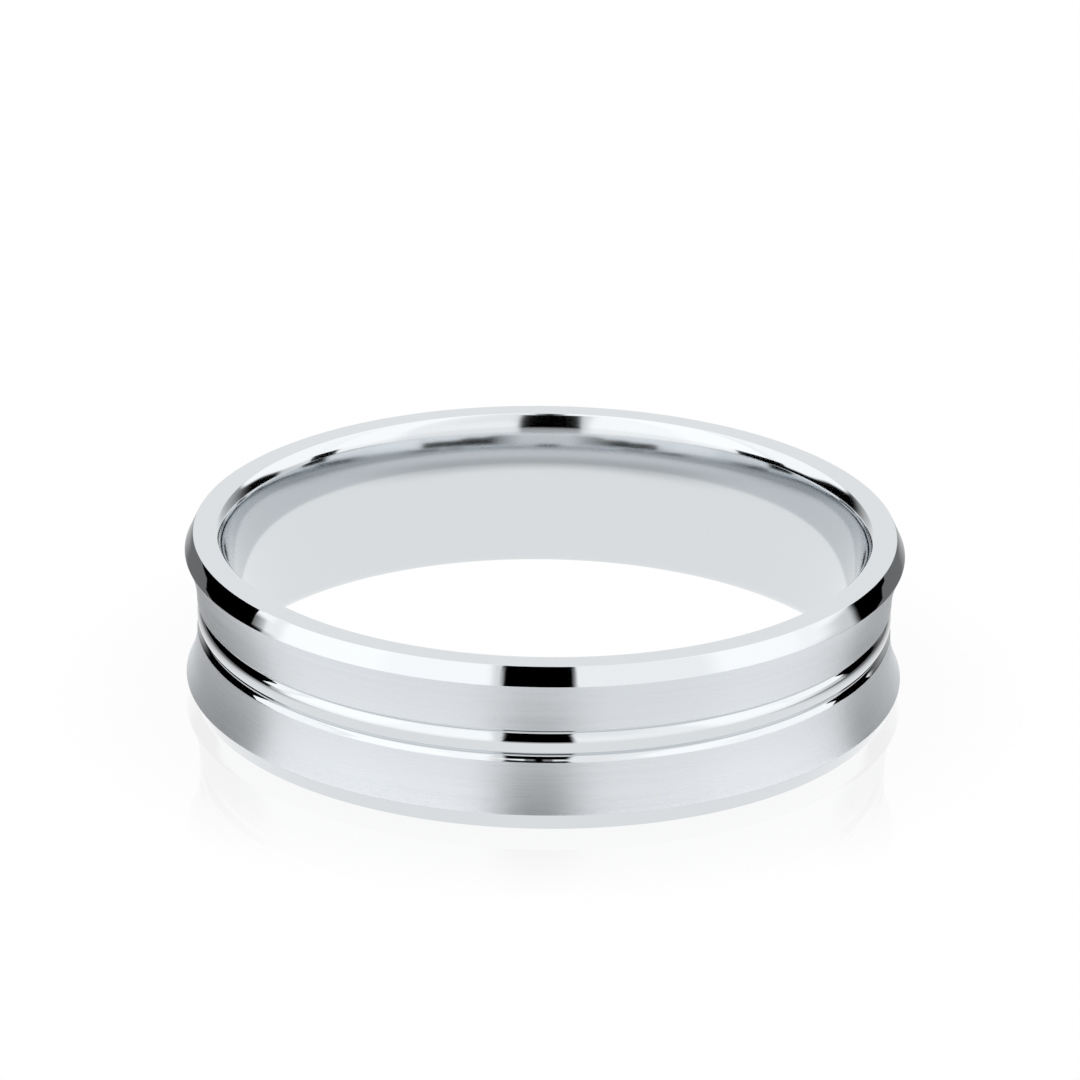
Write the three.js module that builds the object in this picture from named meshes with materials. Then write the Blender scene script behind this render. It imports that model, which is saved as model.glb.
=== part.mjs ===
// A comfort-fit wedding band, 5 mm wide, lying on one edge face.
// The whole band is one ring of metal, turned on a lathe: flat edge faces, a polished bevel
// round each outer edge, two hollow satin belts, and between them a groove that holds a
// half-round polished bead with a narrow channel on each side.
// Millimetres. The finger axis is +Z, and the lower edge face rests on z = 0.
import * as THREE from 'three';

// Driving dimensions.
const bandWidth = 5.0; // along the finger
const crestRadius = 10.77; // widest part, where each bevel meets its belt
const rimOuterRadius = 10.515; // flat edge face, outside
const rimInnerRadius = 9.824; // flat edge face, inside, where the finger rounding starts
const bevelHeight = 0.53; // along Z
const beltHollow = 0.09; // how far each belt sinks below a straight cone
const lipRadius = 10.422; // where each belt meets the groove
const grooveWidth = 0.984;
const wallTilt = THREE.MathUtils.degToRad(49); // of each groove wall, from the finger axis
const channelRounding = 0.04; // radius at the bottom of each channel
const beadRounding = 0.47;
const beadCrest = 10.422; // top of the bead, level with the lips
const boreRadius = 9.36; // narrowest part of the comfort-fit bore, half way up
const boreRounding = 0.73; // radius of the rounding between the bore and an edge face
const rimMeetingAngle = THREE.MathUtils.degToRad(50); // of that rounding where it meets the face

// How finely the round stretches are cut.
const turnSteps = 96;
const crownSteps = 5;
const roundingSteps = 5;
const beltSteps = 4;
const channelSteps = 4;
const beadSteps = 10;

const halfWidth = bandWidth / 2;

// Points of the profile are (radius, height above mid-width).
const point = (radius, height) => new THREE.Vector2(radius, height);
const mirrored = (points) => points.map((p) => point(p.x, -p.y)).reverse();

// Arc about a centre, from one angle to another, both ends included.
function arc(centre, radius, fromAngle, toAngle, steps) {
  return Array.from({ length: steps + 1 }, (_, i) => {
    const angle = THREE.MathUtils.lerp(fromAngle, toAngle, i / steps);
    return point(centre.x + radius * Math.cos(angle), centre.y + radius * Math.sin(angle));
  });
}

// Arc between two points of the outer face that sinks towards the axis by depth at its middle.
function hollow(from, to, depth, steps) {
  const chord = from.distanceTo(to);
  const radius = (chord ** 2 / 4 + depth ** 2) / (2 * depth);
  const halfAngle = Math.asin(chord / 2 / radius);
  const along = to.clone().sub(from).normalize();
  const outward = point(-along.y, along.x);
  const centre = from.clone().add(to).multiplyScalar(0.5).addScaledVector(outward, radius - depth);
  const middle = Math.atan2(-outward.y, -outward.x);
  return arc(centre, radius, middle - halfAngle, middle + halfAngle, steps);
}

// The bore's crown, from half way up, tangent to the rounding that leads out to the edge face.
function upperBore() {
  const rise = halfWidth - boreRounding * Math.sin(rimMeetingAngle);
  const run = rimInnerRadius - boreRadius - boreRounding * (1 - Math.cos(rimMeetingAngle));
  const meet = 2 * Math.atan(run / rise);
  const crown = rise / Math.sin(meet) + boreRounding;
  const crownCentre = point(boreRadius + crown, 0);
  const roundingCentre = point(boreRadius + boreRounding + run, rise);
  const crownEnd = Math.PI - meet;
  const wall = arc(crownCentre, crown, Math.PI, crownEnd, crownSteps);
  const rounding = arc(roundingCentre, boreRounding, crownEnd, Math.PI - rimMeetingAngle, roundingSteps);
  return [...wall, ...rounding.slice(1)];
}

// The outside, from the upper edge face down to the groove's upper lip.
function upperOutside() {
  const crest = point(crestRadius, halfWidth - bevelHeight);
  const lip = point(lipRadius, grooveWidth / 2);
  return [point(rimOuterRadius, halfWidth), ...hollow(crest, lip, beltHollow, beltSteps)];
}

// The groove below its upper lip: a straight wall, the round channel, the bead, and the same
// mirrored. The channel touches both the wall and the bead without a corner.
function grooveAndBead(lip) {
  const beadCentre = point(beadCrest - beadRounding, 0);
  const inwards = point(-Math.sin(wallTilt), -Math.cos(wallTilt));
  const outwards = point(Math.cos(wallTilt), -Math.sin(wallTilt));
  const start = lip.clone().addScaledVector(outwards, channelRounding).sub(beadCentre);
  const along = start.dot(inwards);
  const apart = beadRounding + channelRounding;
  const wallLength = -along - Math.sqrt(along ** 2 - start.lengthSq() + apart ** 2);
  const channelCentre = start.addScaledVector(inwards, wallLength).add(beadCentre);
  const touch = Math.atan2(channelCentre.y, channelCentre.x - beadCentre.x);
  const wallEnd = Math.PI - wallTilt;
  const channel = arc(channelCentre, channelRounding, wallEnd, Math.PI + touch, channelSteps);
  const bead = arc(beadCentre, beadRounding, touch, -touch, beadSteps).slice(1, -1);
  return [...channel, ...bead, ...mirrored(channel)];
}

function profile() {
  const bore = upperBore();
  const outside = upperOutside();
  const groove = grooveAndBead(outside.at(-1));
  const upper = [...bore, ...outside];
  const lower = mirrored(upper).slice(0, -1);
  return [...upper, ...groove, ...lower, bore[0]];
}

const whiteGold = new THREE.MeshStandardMaterial({ color: 0xd9dde0, metalness: 1, roughness: 0.22 });

const ring = new THREE.LatheGeometry(profile().reverse(), turnSteps);
ring.rotateX(Math.PI / 2);
ring.translate(0, 0, halfWidth);
const band = new THREE.Mesh(ring, whiteGold);
band.name = 'band';

const weddingBand = new THREE.Group();
weddingBand.add(band);

export default weddingBand;
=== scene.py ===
"""Looks for the comfort-fit wedding band: a fine turned mesh with mirror-polished and satin metal,
on a plain white floor, lit by studio softboxes. Metres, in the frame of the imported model."""

import math

import bpy
import numpy as np
from mathutils import Matrix, Vector


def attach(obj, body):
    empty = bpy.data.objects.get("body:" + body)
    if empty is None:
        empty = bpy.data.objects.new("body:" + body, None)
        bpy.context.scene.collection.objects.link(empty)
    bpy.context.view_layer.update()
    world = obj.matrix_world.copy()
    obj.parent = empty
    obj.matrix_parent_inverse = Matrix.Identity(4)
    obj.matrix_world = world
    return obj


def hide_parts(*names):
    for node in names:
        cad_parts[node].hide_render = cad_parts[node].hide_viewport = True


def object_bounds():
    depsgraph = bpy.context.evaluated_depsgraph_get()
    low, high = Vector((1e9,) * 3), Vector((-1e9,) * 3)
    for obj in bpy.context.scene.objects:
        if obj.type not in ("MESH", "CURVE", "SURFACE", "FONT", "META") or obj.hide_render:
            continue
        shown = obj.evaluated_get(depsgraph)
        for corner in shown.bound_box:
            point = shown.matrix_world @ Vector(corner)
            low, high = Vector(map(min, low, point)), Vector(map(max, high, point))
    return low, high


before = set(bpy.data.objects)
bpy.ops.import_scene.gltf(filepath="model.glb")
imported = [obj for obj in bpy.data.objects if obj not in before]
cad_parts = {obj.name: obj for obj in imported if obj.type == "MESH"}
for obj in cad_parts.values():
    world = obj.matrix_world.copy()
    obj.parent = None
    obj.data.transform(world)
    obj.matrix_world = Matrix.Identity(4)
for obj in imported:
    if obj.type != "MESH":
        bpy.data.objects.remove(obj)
cad_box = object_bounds()

MM = 0.001
low, high = Vector(cad_box[0]), Vector(cad_box[1])
BAND_WIDTH = high.z - low.z
CREST_RADIUS = (high.x - low.x) / 2

# ---- Camera: a long product lens, a little above the band ----

CAMERA_DISTANCE = 150 * MM  # from the middle of the lower edge face
CAMERA_HEIGHT_ANGLE = math.radians(23.46)
CAMERA_AIM = Vector((-0.15 * MM, 0, 0.92 * BAND_WIDTH))
CAMERA_ROLL = math.radians(0.71)
LENS_MM = 165
SENSOR_MM = 36
CLIP_START = 1 * MM
CLIP_END = 10


def make_camera():
    """The camera in front of the band, looking down at it a little turned."""
    camera = bpy.data.objects.new("camera", bpy.data.cameras.new("camera"))
    bpy.context.scene.collection.objects.link(camera)
    camera.location = CAMERA_DISTANCE * Vector(
        (0, -math.cos(CAMERA_HEIGHT_ANGLE), math.sin(CAMERA_HEIGHT_ANGLE))
    )
    turn = (CAMERA_AIM - camera.location).to_track_quat("-Z", "Y").to_matrix()
    camera.rotation_euler = (turn @ Matrix.Rotation(CAMERA_ROLL, 3, "Z")).to_euler()
    camera.data.lens = LENS_MM
    camera.data.sensor_width = SENSOR_MM
    camera.data.clip_start = CLIP_START
    camera.data.clip_end = CLIP_END
    bpy.context.scene.camera = camera


# ---- The band's profile: (radius, height above mid-width) in millimetres, as in the CAD ----

HALF_WIDTH = BAND_WIDTH / 2 / MM
BEVEL_HEIGHT = 0.53
CREST = (CREST_RADIUS / MM, HALF_WIDTH - BEVEL_HEIGHT)  # the widest place, below the bevel
RIM_OUTER_RADIUS = 10.515
RIM_INNER_RADIUS = 9.824
BELT_HOLLOW = 0.09
LIP = (10.422, 0.492)  # where each belt meets the groove
BEAD_CREST = 10.422  # top of the half-round bead in the middle of the groove
BEAD_ROUNDING = 0.47
CHANNEL_ROUNDING = 0.04  # bottom of the channel between the bead and each wall
WALL_TILT = math.radians(49)  # of each channel wall from the finger axis
BORE_RADIUS = 9.36  # narrowest part of the comfort-fit bore, half way up
BORE_ROUNDING = 0.73  # between the bore's crown and the rim
RIM_MEETING_ANGLE = math.radians(50)  # of the rounding where it meets the rim
EDGE_BREAK = 0.009  # how far each turned corner is softened by polishing
AVERAGE_REACH = 4  # edge breaks to each side that the softening average takes in
FINE_STEP = 0.003  # between the points that the outline is first drawn with
FEWEST_ARC_POINTS = 8
TURN_PER_POINT = math.radians(5.5)  # of the outline between two points that the mesh keeps
LENGTH_PER_POINT = 0.25
SECTORS = 460


def arc(centre, radius, start, stop):
    """Fine points on a circle, from one angle to another."""
    count = max(FEWEST_ARC_POINTS, int(abs(stop - start) * radius / FINE_STEP))
    angles = np.linspace(start, stop, count)
    return np.array(centre) + radius * np.column_stack((np.cos(angles), np.sin(angles)))


def straight(start, stop):
    """Fine points on a straight line, at least its two ends."""
    count = max(2, int(math.dist(start, stop) / FINE_STEP))
    return np.linspace(start, stop, count)


def hollow(start, stop, depth):
    """Arc between two points of the outside that sinks towards the axis by depth."""
    start, stop = np.array(start), np.array(stop)
    chord = math.dist(start, stop)
    radius = (chord**2 / 4 + depth**2) / (2 * depth)
    half = math.asin(chord / 2 / radius)
    along = (stop - start) / chord
    outward = np.array((-along[1], along[0]))
    centre = (start + stop) / 2 + outward * (radius - depth)
    middle = math.atan2(-outward[1], -outward[0])
    return arc(centre, radius, middle - half, middle + half)


def upper_bore():
    """The bore's crown from mid-width, and the rounding that leads out to the rim."""
    rise = HALF_WIDTH - BORE_ROUNDING * math.sin(RIM_MEETING_ANGLE)
    run = RIM_INNER_RADIUS - BORE_RADIUS - BORE_ROUNDING * (1 - math.cos(RIM_MEETING_ANGLE))
    meet = 2 * math.atan(run / rise)
    crown = rise / math.sin(meet) + BORE_ROUNDING
    centre = (BORE_RADIUS + BORE_ROUNDING + run, rise)
    wall = arc((BORE_RADIUS + crown, 0), crown, math.pi, math.pi - meet)
    rounding = arc(centre, BORE_ROUNDING, math.pi - meet, math.pi - RIM_MEETING_ANGLE)
    return [wall, rounding]


def groove():
    """A straight wall below the upper lip, a rounded channel, the bead, and the same mirrored."""
    bead_centre = np.array((BEAD_CREST - BEAD_ROUNDING, 0))
    inwards = np.array((-math.sin(WALL_TILT), -math.cos(WALL_TILT)))
    outwards = np.array((math.cos(WALL_TILT), -math.sin(WALL_TILT)))
    start = np.array(LIP) + CHANNEL_ROUNDING * outwards - bead_centre
    along = start @ inwards
    reach = BEAD_ROUNDING + CHANNEL_ROUNDING  # between the centres of the bead and the channel
    wall_length = -along - math.sqrt(along**2 - start @ start + reach**2)
    foot = np.array(LIP) + wall_length * inwards
    channel_centre = foot + CHANNEL_ROUNDING * outwards
    touch = math.atan2(channel_centre[1], channel_centre[0] - bead_centre[0])
    wall = straight(LIP, foot)
    channel = arc(channel_centre, CHANNEL_ROUNDING, math.pi - WALL_TILT, math.pi + touch)
    upper = np.concatenate((wall[:-1], channel[:-1]))
    bead = arc(bead_centre, BEAD_ROUNDING, touch, -touch)
    return np.concatenate((upper, bead, upper[::-1] * (1, -1)))


POLISHED, SATIN, BORE = 0, 1, 2  # finishes, in the order of the band's materials


def sharp_profile():
    """The closed profile as fine points, and the finish of each, without its double corners."""
    rim = (RIM_INNER_RADIUS, HALF_WIDTH), (RIM_OUTER_RADIUS, HALF_WIDTH)
    stretches = [(piece, BORE) for piece in upper_bore()]
    stretches += [(straight(*rim), POLISHED), (straight(rim[1], CREST), POLISHED)]
    stretches += [(hollow(CREST, LIP, BELT_HOLLOW), SATIN)]
    below = [(piece[::-1] * (1, -1), finish) for piece, finish in reversed(stretches)]
    everything = [*stretches, (groove(), POLISHED), *below]
    points = np.concatenate([piece[:-1] for piece, _ in everything])
    finishes = np.concatenate([np.full(len(piece) - 1, finish) for piece, finish in everything])
    return points, finishes


def even_points(points):
    """The closed outline cut again at equal steps, and where each new point lies on the old one."""
    ring = np.vstack((points, points[:1]))
    length = np.concatenate(([0], np.cumsum(np.linalg.norm(np.diff(ring, axis=0), axis=1))))
    count = int(length[-1] / FINE_STEP)
    at = np.linspace(0, length[-1], count, endpoint=False)
    fine = np.column_stack([np.interp(at, length, ring[:, k]) for k in (0, 1)])
    return fine, np.searchsorted(length, at, side="right") - 1


def softened(points):
    """Rounds the corners of a closed outline of even points, by a moving Gaussian average."""
    furthest = int(AVERAGE_REACH * EDGE_BREAK / FINE_STEP)
    reach = np.arange(-furthest, furthest + 1)
    weight = np.exp(-0.5 * (reach * FINE_STEP / EDGE_BREAK) ** 2)
    weight /= weight.sum()
    return sum(w * np.roll(points, k, axis=0) for k, w in zip(reach, weight))


def chosen(points):
    """Picks points closely where the outline turns and sparsely where it is straight."""
    ahead = np.roll(points, -1, axis=0) - points
    heading = np.unwrap(np.arctan2(ahead[:, 1], ahead[:, 0]))
    turns = round((heading[-1] - heading[0]) / math.tau)
    turned = np.abs(np.diff(heading, append=heading[0] + turns * math.tau))
    cost = turned / TURN_PER_POINT + np.linalg.norm(ahead, axis=1) / LENGTH_PER_POINT
    total = np.cumsum(cost)
    count = math.floor(total[-1])
    steps = np.arange(0, count) * total[-1] / count
    return np.unique(np.searchsorted(total, steps))


def turned_band():
    """A closed mesh of the band with its true normals, and the finish of each face."""
    points, finishes = sharp_profile()
    fine, source = even_points(points)
    finishes = finishes[source]
    fine = softened(fine)
    tangent = np.roll(fine, -1, axis=0) - np.roll(fine, 1, axis=0)
    normal = np.column_stack((-tangent[:, 1], tangent[:, 0]))
    normal /= np.linalg.norm(normal, axis=1, keepdims=True)
    keep = chosen(fine)
    fine, normal, finishes = fine[keep] * MM, normal[keep], finishes[keep]
    angles = np.linspace(0, math.tau, SECTORS, endpoint=False)
    cos, sin = np.cos(angles)[:, None], np.sin(angles)[:, None]

    def spun(radial, upright):
        heights = np.broadcast_to(upright, (SECTORS, len(upright)))
        return np.stack((cos * radial, sin * radial, heights), -1)

    vertices = spun(fine[:, 0], fine[:, 1] + BAND_WIDTH / 2).reshape(-1, 3)
    normals = spun(normal[:, 0], normal[:, 1]).reshape(-1, 3)
    rows = len(fine)
    row = np.arange(rows)
    sector = np.arange(SECTORS)[:, None]
    here, there = sector * rows, (sector + 1) % SECTORS * rows
    ahead = (row + 1) % rows
    faces = np.stack((here + row, here + ahead, there + ahead, there + row), -1).reshape(-1, 4)
    mesh = bpy.data.meshes.new("band_metal")
    mesh.from_pydata(vertices.tolist(), [], faces.tolist())
    mesh.polygons.foreach_set("use_smooth", np.ones(len(faces), bool))
    shared = np.where(finishes == finishes[ahead], finishes, POLISHED)
    mesh.polygons.foreach_set("material_index", np.tile(shared, SECTORS).astype(np.int32))
    mesh.update()
    mesh.normals_split_custom_set_from_vertices(normals.tolist())
    return mesh


# ---- Metal ----

WHITE_GOLD = (0.69, 0.715, 0.735, 1)
POLISHED_ROUGHNESS = 0.03
BORE_ROUGHNESS = 0.08


def new_material(name):
    """An empty material, its nodes and its links."""
    material = bpy.data.materials.new(name)
    material.use_nodes = True
    nodes = material.node_tree.nodes
    nodes.clear()
    return material, nodes, material.node_tree.links


def polished_metal(name, roughness):
    """Plain mirror metal."""
    material, nodes, links = new_material(name)
    out = nodes.new("ShaderNodeOutputMaterial")
    shader = nodes.new("ShaderNodeBsdfPrincipled")
    shader.inputs["Base Color"].default_value = WHITE_GOLD
    shader.inputs["Metallic"].default_value = 1
    shader.inputs["Roughness"].default_value = roughness
    links.new(shader.outputs[0], out.inputs["Surface"])
    return material


STREAKS_ALONG = 330  # brush marks per metre, round the band and across it
STREAKS_ACROSS = 30000
STREAK_HEIGHT = 0.008 * MM
FINE_DETAIL = 3
BROAD_DETAIL = 2
BROAD_SCALE = 0.25  # of the broad marks' number to the fine marks'
NOISE_LOW = 0.3  # nearly all of the noise lies between these two
NOISE_HIGH = 0.7
SATIN_GOLD = (0.8, 0.83, 0.86, 1)
SATIN_SHADES = (0.97, 1.03)
SATIN_ROUGHNESS = (0.39, 0.45)
SATIN_SPREAD = 1.0  # anisotropy: the light spreads across the brush marks only
SATIN_TURN = 0.25  # of a full turn from the tangent


def streak_noise(nodes, links, scale, detail):
    """Fine marks drawn out round the band, as a factor between 0 and 1."""
    place = nodes.new("ShaderNodeTexCoord")
    stretch = nodes.new("ShaderNodeMapping")
    along, across = STREAKS_ALONG * scale, STREAKS_ACROSS * scale
    stretch.inputs["Scale"].default_value = (along, along, across)
    noise = nodes.new("ShaderNodeTexNoise")
    noise.inputs["Scale"].default_value = 1
    noise.inputs["Detail"].default_value = detail
    links.new(place.outputs["Object"], stretch.inputs["Vector"])
    links.new(stretch.outputs["Vector"], noise.inputs["Vector"])
    return noise.outputs["Fac"]


def ranged(nodes, links, factor, least, most):
    """The noise spread out between two values."""
    spread = nodes.new("ShaderNodeMapRange")
    spread.inputs["From Min"].default_value = NOISE_LOW
    spread.inputs["From Max"].default_value = NOISE_HIGH
    spread.inputs["To Min"].default_value = least
    spread.inputs["To Max"].default_value = most
    links.new(factor, spread.inputs["Value"])
    return spread.outputs["Result"]


def tinted(nodes, links, factor, dark, light):
    """The noise as a colour between two."""
    mix = nodes.new("ShaderNodeMix")
    mix.data_type = "RGBA"
    mix.inputs["A"].default_value = dark
    mix.inputs["B"].default_value = light
    links.new(ranged(nodes, links, factor, 0, 1), mix.inputs["Factor"])
    return mix.outputs["Result"]


def shade(colour, share):
    """A colour made darker or lighter."""
    return tuple(channel * share for channel in colour[:3]) + (1,)


def satin_metal():
    """Metal brushed round the band, with marks too fine to see one by one."""
    material, nodes, links = new_material("satin_white_gold")
    out = nodes.new("ShaderNodeOutputMaterial")
    shader = nodes.new("ShaderNodeBsdfPrincipled")
    fine = streak_noise(nodes, links, 1, FINE_DETAIL)
    broad = streak_noise(nodes, links, BROAD_SCALE, BROAD_DETAIL)
    dark, light = (shade(SATIN_GOLD, share) for share in SATIN_SHADES)
    links.new(tinted(nodes, links, broad, dark, light), shader.inputs["Base Color"])
    links.new(ranged(nodes, links, broad, *SATIN_ROUGHNESS), shader.inputs["Roughness"])
    shader.inputs["Metallic"].default_value = 1
    shader.inputs["Anisotropic"].default_value = SATIN_SPREAD
    shader.inputs["Anisotropic Rotation"].default_value = SATIN_TURN
    tangent = nodes.new("ShaderNodeTangent")
    tangent.direction_type = "RADIAL"
    tangent.axis = "Z"
    bump = nodes.new("ShaderNodeBump")
    bump.inputs["Distance"].default_value = STREAK_HEIGHT
    links.new(fine, bump.inputs["Height"])
    links.new(bump.outputs["Normal"], shader.inputs["Normal"])
    links.new(tangent.outputs[0], shader.inputs["Tangent"])
    links.new(shader.outputs[0], out.inputs["Surface"])
    return material


def make_band():
    """The band with its three finishes, standing for the CAD node."""
    mesh = turned_band()
    mesh.materials.append(polished_metal("polished_white_gold", POLISHED_ROUGHNESS))
    mesh.materials.append(satin_metal())
    mesh.materials.append(polished_metal("bore_white_gold", BORE_ROUGHNESS))
    band = bpy.data.objects.new("band_metal", mesh)
    bpy.context.scene.collection.objects.link(band)
    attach(band, "root")
    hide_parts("band")
    return band


# ---- Studio: a tent of softboxes with dark gaps, seen in the metal and not by the camera ----

TENT_RADIUS = 0.6
DOME_STEP = 1.0  # degrees


def glowing(name):
    """Light whose strength is painted on the mesh as the attribute glow."""
    material, nodes, links = new_material(name)
    out = nodes.new("ShaderNodeOutputMaterial")
    light = nodes.new("ShaderNodeEmission")
    painted = nodes.new("ShaderNodeAttribute")
    painted.attribute_name = "glow"
    material.cycles.emission_sampling = "NONE"
    links.new(painted.outputs["Fac"], light.inputs["Strength"])
    links.new(light.outputs[0], out.inputs["Surface"])
    return material


def staged(name, vertices, faces, glow):
    """A glowing mesh of the studio that the metal sees and the camera doesn't."""
    mesh = bpy.data.meshes.new(name)
    mesh.from_pydata(vertices.tolist(), [], faces.tolist())
    mesh.attributes.new("glow", "FLOAT", "POINT").data.foreach_set("value", glow.astype(np.float32))
    mesh.materials.append(glowing(name))
    piece = bpy.data.objects.new(name, mesh)
    bpy.context.scene.collection.objects.link(piece)
    piece.visible_camera = False
    piece.visible_shadow = False
    return piece


def grid_faces(rows, columns):
    """Quads of a grid of vertices in rows, closed round along each row."""
    row, column = np.meshgrid(np.arange(rows - 1), np.arange(columns), indexing="ij")
    beside = (column + 1) % columns
    this, following = row * columns, (row + 1) * columns
    corners = (this + column, this + beside, following + beside, following + column)
    return np.stack(corners, -1).reshape(-1, 4)


def ramp(value, none, full):
    """Smooth step from 0 at one value to 1 at the other, which may be the lower one."""
    t = np.clip((value - none) / (full - none), 0, 1)
    return t * t * (3 - 2 * t)


# Directions from the band, in degrees. Azimuth is 0 towards the camera and positive to its
# right. A pair is a soft edge: where the ramp is 0, and where it is 1.
HORIZON_SHADE, HORIZON = 0.12, (18, 0)  # the boxes are a little dimmer near the table

LEFT_BOX = 1.32
LEFT_BOX_LIFT, LEFT_LIFT_EDGE = 0.06, (-48, -56)  # brighter beyond this azimuth
LEFT_BOX_END, LEFT_END_EDGE = 0.55, (-94, -86)  # dimmer at its outer end
LEFT_BOX_EDGE = (-96.5, -94.5)

RIGHT_BOX = 1.18
RIGHT_BOX_LIFT, RIGHT_LIFT_EDGE = 0.16, (50, 60)
RIGHT_TOP_SHADE, RIGHT_TOP, RIGHT_TOP_END = 0.08, (28, 50), (50, 30)  # elevation and azimuth
RIGHT_END_SHADE, RIGHT_END_EDGE = 0.35, (82, 108)
RIGHT_BOX_EDGE = (113, 108)

BACK_WALL, BACK_LIFT_EDGE = 0.5, (146, 165)  # doubled straight behind the band
BACK_LEFT_EDGE, BACK_RIGHT_EDGE, BACK_FULL = 138, 128, 150

CEILING = 1.3
CEILING_EDGE = (85, 95)  # the ceiling starts beside the band and runs behind it
CEILING_BOTTOM, CEILING_SOFT = 9, 5
SIDE_RISE, SIDE_RISE_EDGE = (10, 8), (106, 126)  # left and right
BACK_RISE, BACK_RISE_EDGE = 16, (135, 155)

# The dark gap between the boxes in front. Its sides are given as the sine of the angle from
# the plane through the camera and the finger axis, so they narrow slightly overhead.
GAP_LEFT = (0.095, 0.12)  # at the top, and how much more at the table
GAP_RIGHT = (0.055, 0.115)
GAP_SOFT = 0.012
GAP_STRIP, STRIP_EDGE = 0.28, (-0.07, -0.02)  # a dimmer strip along its left side
GAP_FOOT, FOOT_EDGE = 0.5, (9, 4)  # light at the foot of the gap
OVERHEAD = (70, 71.5)
CORE_MIDDLE = -0.012
CORE_EDGE = (0.053, 0.047)  # the gap is narrower overhead, from its middle
CORE_LIGHT, CORE_LIGHT_EDGE = 0.3, (0.012, 0.018)  # only its middle line is fully dark


def boxes_glow(azimuth, elevation):
    """Strength of the two softboxes, left and right of the gap in front."""
    left = LEFT_BOX + LEFT_BOX_LIFT * ramp(azimuth, *LEFT_LIFT_EDGE)
    left *= LEFT_BOX_END + (1 - LEFT_BOX_END) * ramp(azimuth, *LEFT_END_EDGE)
    left *= ramp(azimuth, *LEFT_BOX_EDGE)
    right = RIGHT_BOX + RIGHT_BOX_LIFT * ramp(azimuth, *RIGHT_LIFT_EDGE)
    right -= RIGHT_TOP_SHADE * ramp(elevation, *RIGHT_TOP) * ramp(azimuth, *RIGHT_TOP_END)
    right *= 1 - RIGHT_END_SHADE * ramp(azimuth, *RIGHT_END_EDGE)
    right *= ramp(azimuth, *RIGHT_BOX_EDGE)
    return np.where(azimuth < 0, left, right) * (1 - HORIZON_SHADE * ramp(elevation, *HORIZON))


def around_glow(azimuth, elevation):
    """Strength of the tent without the gap in front: the boxes, the back wall and the ceiling."""
    side = np.abs(azimuth)
    on_left = azimuth < 0
    boxes = boxes_glow(azimuth, elevation)
    wall = BACK_WALL + (1 - BACK_WALL) * ramp(side, *BACK_LIFT_EDGE)
    wall *= ramp(side, np.where(on_left, BACK_LEFT_EDGE, BACK_RIGHT_EDGE), BACK_FULL)
    bottom = CEILING_BOTTOM + BACK_RISE * ramp(side, *BACK_RISE_EDGE)
    bottom += np.where(on_left, *SIDE_RISE) * ramp(side, *SIDE_RISE_EDGE)
    ceiling = ramp(elevation, bottom, bottom + CEILING_SOFT) * ramp(side, *CEILING_EDGE)
    around = np.where(side < 90, boxes, np.maximum(boxes, wall))
    return around + (CEILING - around) * ceiling


def tent_glow(azimuth, elevation):
    """Strength of the whole tent."""
    around = around_glow(azimuth, elevation)
    flat = np.cos(np.radians(elevation))
    across = flat * np.sin(np.radians(azimuth))
    left = -(GAP_LEFT[0] + GAP_LEFT[1] * flat)
    right = GAP_RIGHT[0] + GAP_RIGHT[1] * flat
    in_gap = np.maximum(
        GAP_STRIP * ramp(across, left + STRIP_EDGE[0], left + STRIP_EDGE[1]),
        ramp(across, left - GAP_SOFT, left + GAP_SOFT),
    )
    in_gap *= ramp(across, right + GAP_SOFT, right - GAP_SOFT) * (np.abs(azimuth) < 90)
    overhead = ramp(elevation, *OVERHEAD)
    from_core = np.abs(across - CORE_MIDDLE)
    in_gap *= 1 - overhead * (1 - ramp(from_core, *CORE_EDGE))
    gap = GAP_FOOT * ramp(elevation, *FOOT_EDGE)
    gap += CORE_LIGHT * overhead * ramp(from_core, *CORE_LIGHT_EDGE)
    return around + (gap - around) * in_gap


def make_tent():
    """The dome of softboxes, as one mesh with the light painted on."""
    elevations = np.arange(0, 90 + DOME_STEP / 2, DOME_STEP)
    azimuths = np.arange(-180, 180, DOME_STEP)
    elevation, azimuth = (grid.ravel() for grid in np.meshgrid(elevations, azimuths, indexing="ij"))
    tilt = np.radians(elevation)
    bearing = np.radians(azimuth)
    flat = np.cos(tilt)
    directions = np.stack((flat * np.sin(bearing), -flat * np.cos(bearing), np.sin(tilt)), -1)
    faces = grid_faces(len(elevations), len(azimuths))
    staged("tent", directions * TENT_RADIUS, faces, tent_glow(azimuth, elevation))


# Two small black cards stand beside the band, each between two ends (x, y).
FLAG_BOTTOM = 4.5 * MM
FLAG_TOP = 13.5 * MM
LEFT_FLAG = ((-27.1 * MM, -2.8 * MM), (-20.8 * MM, 8.8 * MM))
RIGHT_FLAG = ((25.7 * MM, 1.75 * MM), (21.7 * MM, 7.7 * MM))


def make_flag(name, ends):
    """A black card, seen in the metal and not by the camera."""
    corners = [(x, y, z) for z in (FLAG_BOTTOM, FLAG_TOP) for x, y in ends]
    staged(name, np.array(corners), np.array([(0, 1, 3, 2)]), np.zeros(len(corners)))


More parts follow.
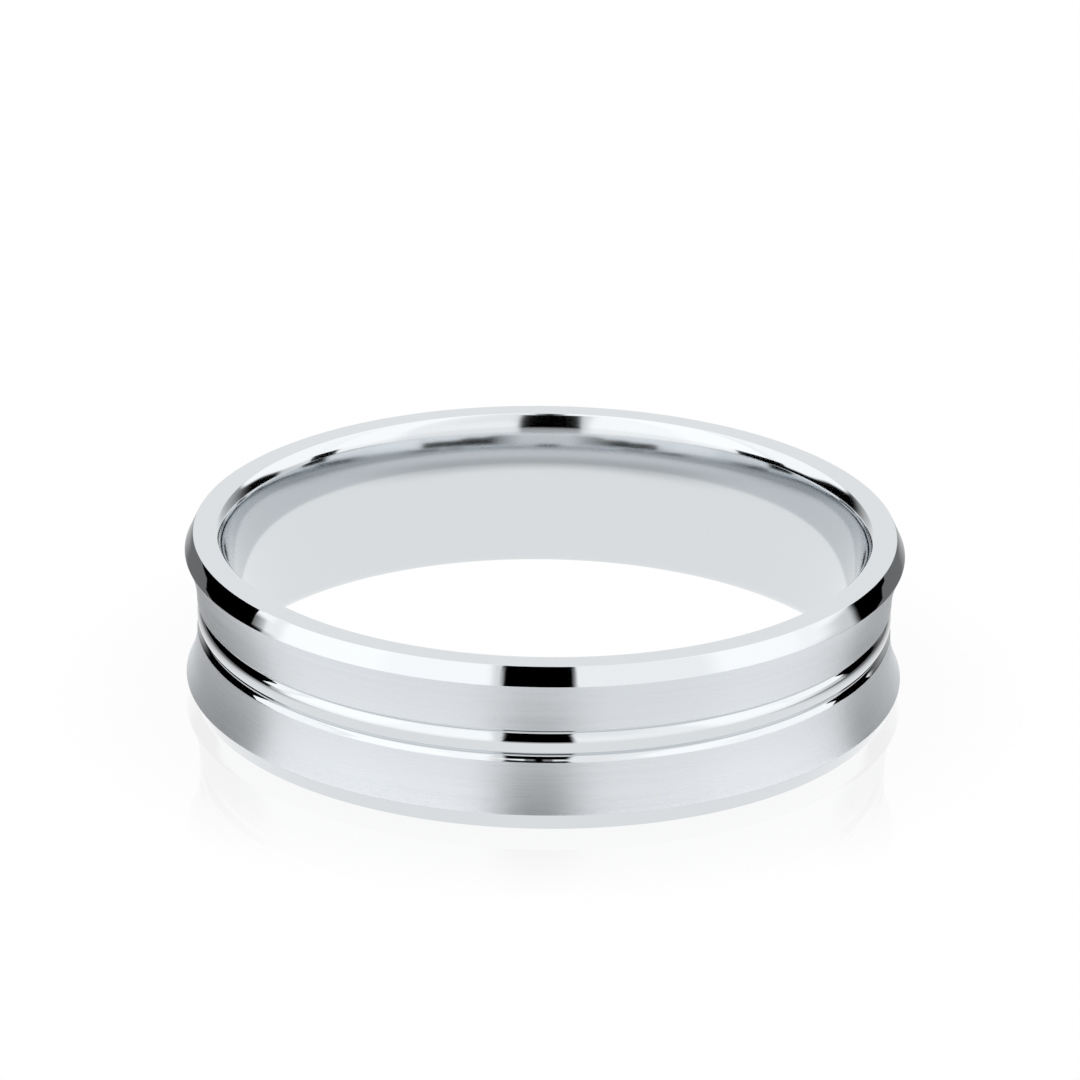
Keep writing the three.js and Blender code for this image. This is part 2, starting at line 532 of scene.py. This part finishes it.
# The table as the metal sees it: a glowing sheet, with painted shade under the bore and beside the
# band. Radii are from the finger axis.
UNDER_SHADE, UNDER_NEAR, UNDER_FAR = 0.28, 4.5 * MM, 9.2 * MM  # painted shade inside the band, below its bore
UNDER_END = 10.2 * MM
UNDER_SIDES = (120, 50)  # azimuth
SIDE_SHADE, SIDE_NEAR, SIDE_FAR = 0.82, 11 * MM, 32 * MM  # painted shade beside and behind the band, deepening outwards
SIDE_EDGE = (60, 105)  # azimuth
TABLE_DROP = 0.02 * MM  # below the lower edge face
TABLE_HOLE = 0.001 * MM
TABLE_STEP_INSIDE = 0.4 * MM
TABLE_INSIDE = 9.6 * MM
TABLE_RINGS_FROM = 9.7 * MM
TABLE_RINGS = 50
TABLE_TURN = 3.0  # degrees


def table_glow(radius, azimuth):
    """Strength of the table: painted shade under the bore, and painted shade deepening outwards
    beside the band.
    """
    side = np.abs(azimuth)
    outwards = np.clip(np.log(radius / SIDE_NEAR) / math.log(SIDE_FAR / SIDE_NEAR), 0, 1)
    under = ramp(radius, UNDER_NEAR, UNDER_FAR) * (radius < UNDER_END) * ramp(side, *UNDER_SIDES)
    return 1 - UNDER_SHADE * under - SIDE_SHADE * outwards * ramp(side, *SIDE_EDGE)


def make_table():
    """What the metal reflects of the table, glowing with painted shade, down to a closed middle."""
    inside = np.arange(0, TABLE_INSIDE / MM, TABLE_STEP_INSIDE / MM)[1:] * MM
    outside = np.geomspace(TABLE_RINGS_FROM, TENT_RADIUS, TABLE_RINGS)
    radii = np.concatenate(([TABLE_HOLE], inside, outside))
    azimuths = np.arange(-180, 180, TABLE_TURN)
    radius, azimuth = (grid.ravel() for grid in np.meshgrid(radii, azimuths, indexing="ij"))
    bearing = np.radians(azimuth)
    drop = np.full_like(radius, -TABLE_DROP)
    vertices = np.stack((radius * np.sin(bearing), -radius * np.cos(bearing), drop), -1)
    faces = grid_faces(len(radii), len(azimuths))
    staged("table", vertices, faces, table_glow(radius, azimuth))


FLOOR_HALF_SIZE = 3.0
FLOOR_DROP = 0.01 * MM  # below the lower edge face, so that the two don't touch
SHEEN_NEAR = 10.5 * MM  # the floor's mirror image of the band fades from here...
SHEEN_FAR = 16 * MM  # ...to here, measured from the middle of the band
SHEEN_STRENGTH = 0.14
SHEEN_ROUGHNESS = 0.05


def floor_material():
    """White light with a faint mirror image of the band that fades away outside it."""
    material, nodes, links = new_material("white_floor")
    out = nodes.new("ShaderNodeOutputMaterial")
    white = nodes.new("ShaderNodeEmission")
    sheen = nodes.new("ShaderNodeBsdfGlossy")
    sheen.inputs["Roughness"].default_value = SHEEN_ROUGHNESS
    both = nodes.new("ShaderNodeMixShader")
    place = nodes.new("ShaderNodeTexCoord")
    reach = nodes.new("ShaderNodeVectorMath")
    reach.operation = "LENGTH"
    fade = nodes.new("ShaderNodeMapRange")
    fade.interpolation_type = "SMOOTHSTEP"
    fade.inputs["From Min"].default_value = SHEEN_NEAR
    fade.inputs["From Max"].default_value = SHEEN_FAR
    fade.inputs["To Min"].default_value = SHEEN_STRENGTH
    fade.inputs["To Max"].default_value = 0
    outside = nodes.new("ShaderNodeMath")
    outside.operation = "GREATER_THAN"
    outside.inputs[1].default_value = RIM_INNER_RADIUS * MM
    kept = nodes.new("ShaderNodeMath")
    kept.operation = "MULTIPLY"
    links.new(place.outputs["Object"], reach.inputs[0])
    links.new(reach.outputs["Value"], fade.inputs["Value"])
    links.new(reach.outputs["Value"], outside.inputs[0])
    links.new(fade.outputs["Result"], kept.inputs[0])
    links.new(outside.outputs["Value"], kept.inputs[1])
    links.new(kept.outputs["Value"], both.inputs[0])
    links.new(white.outputs[0], both.inputs[1])
    links.new(sheen.outputs[0], both.inputs[2])
    links.new(both.outputs[0], out.inputs["Surface"])
    return material


def make_floor():
    """The white floor that the camera sees. The metal sees the table instead."""
    end = FLOOR_HALF_SIZE
    mesh = bpy.data.meshes.new("floor")
    corners = [(-end, -end, 0), (end, -end, 0), (end, end, 0), (-end, end, 0)]
    mesh.from_pydata(corners, [], [(0, 1, 2, 3)])
    mesh.materials.append(floor_material())
    floor = bpy.data.objects.new("floor", mesh)
    floor.location.z = -FLOOR_DROP
    floor.visible_glossy = False
    bpy.context.scene.collection.objects.link(floor)


def make_world():
    """White behind everything, which the metal doesn't see, and plain colours."""
    scene = bpy.context.scene
    world = bpy.data.worlds.new("studio")
    scene.world = world
    world.use_nodes = True
    background = world.node_tree.nodes["Background"]
    background.inputs["Color"].default_value = (1, 1, 1, 1)
    background.inputs["Strength"].default_value = 1.0
    world.cycles_visibility.glossy = False
    scene.view_settings.view_transform = "Standard"
    scene.view_settings.look = "None"


make_camera()
make_band()
make_floor()
make_table()
make_tent()
make_flag("left_flag", LEFT_FLAG)
make_flag("right_flag", RIGHT_FLAG)
make_world()
